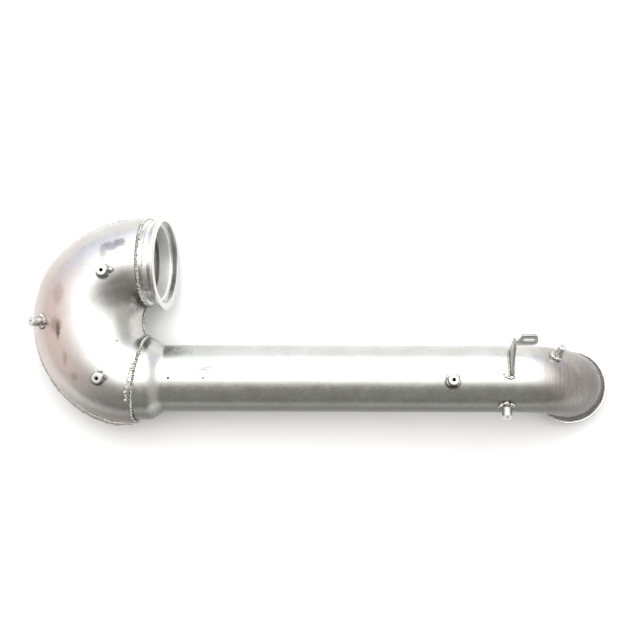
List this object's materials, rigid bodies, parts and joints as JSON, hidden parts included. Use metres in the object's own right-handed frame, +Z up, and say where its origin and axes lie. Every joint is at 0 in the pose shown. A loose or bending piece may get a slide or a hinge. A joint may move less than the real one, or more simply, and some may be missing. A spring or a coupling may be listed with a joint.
{
  "type": "exhaust tailpipe",
  "caption": "Steel exhaust tailpipe: a pressed return bend with a flanged inlet ring, a straight tube, an elbow with an outlet ring, screw bosses and a hanger bracket.",
  "frame": {"origin": "middle of the footprint, on the floor that the part lies on", "axes": "+X along the straight tube to the outlet, +Y towards the inlet leg, +Z up"},
  "size_m": [0.8896, 0.3232, 0.2179],
  "materials": {
    "shell_steel": "pressed, satin, a little stained",
    "tube_steel": "drawn tube, satin",
    "ring_steel": "turned",
    "weld": "as welded",
    "boss_steel": "turned",
    "bracket_steel": "folded sheet, dull"
  },
  "bodies": {
    "root": {"main_pipe": "tube_steel", "bend_upper_shell": "shell_steel", "bend_lower_shell": "shell_steel", "inlet_ring": "ring_steel", "outlet_ring": "ring_steel", "inlet_weld": "weld", "bell_weld": "weld", "outlet_weld": "weld", "outer_seam_weld": "weld", "inner_seam_weld": "weld", "boss_by_inlet": "boss_steel", "boss_on_back": "boss_steel", "boss_by_bell": "boss_steel", "boss_on_crown": "boss_steel", "boss_on_side": "boss_steel", "boss_on_elbow": "boss_steel", "weld_by_inlet": "weld", "weld_on_back": "weld", "weld_by_bell": "weld", "weld_on_crown": "weld", "weld_on_side": "weld", "weld_on_elbow": "weld", "bracket": "bracket_steel", "bracket_weld": "weld"}
  },
  "joints": []
}
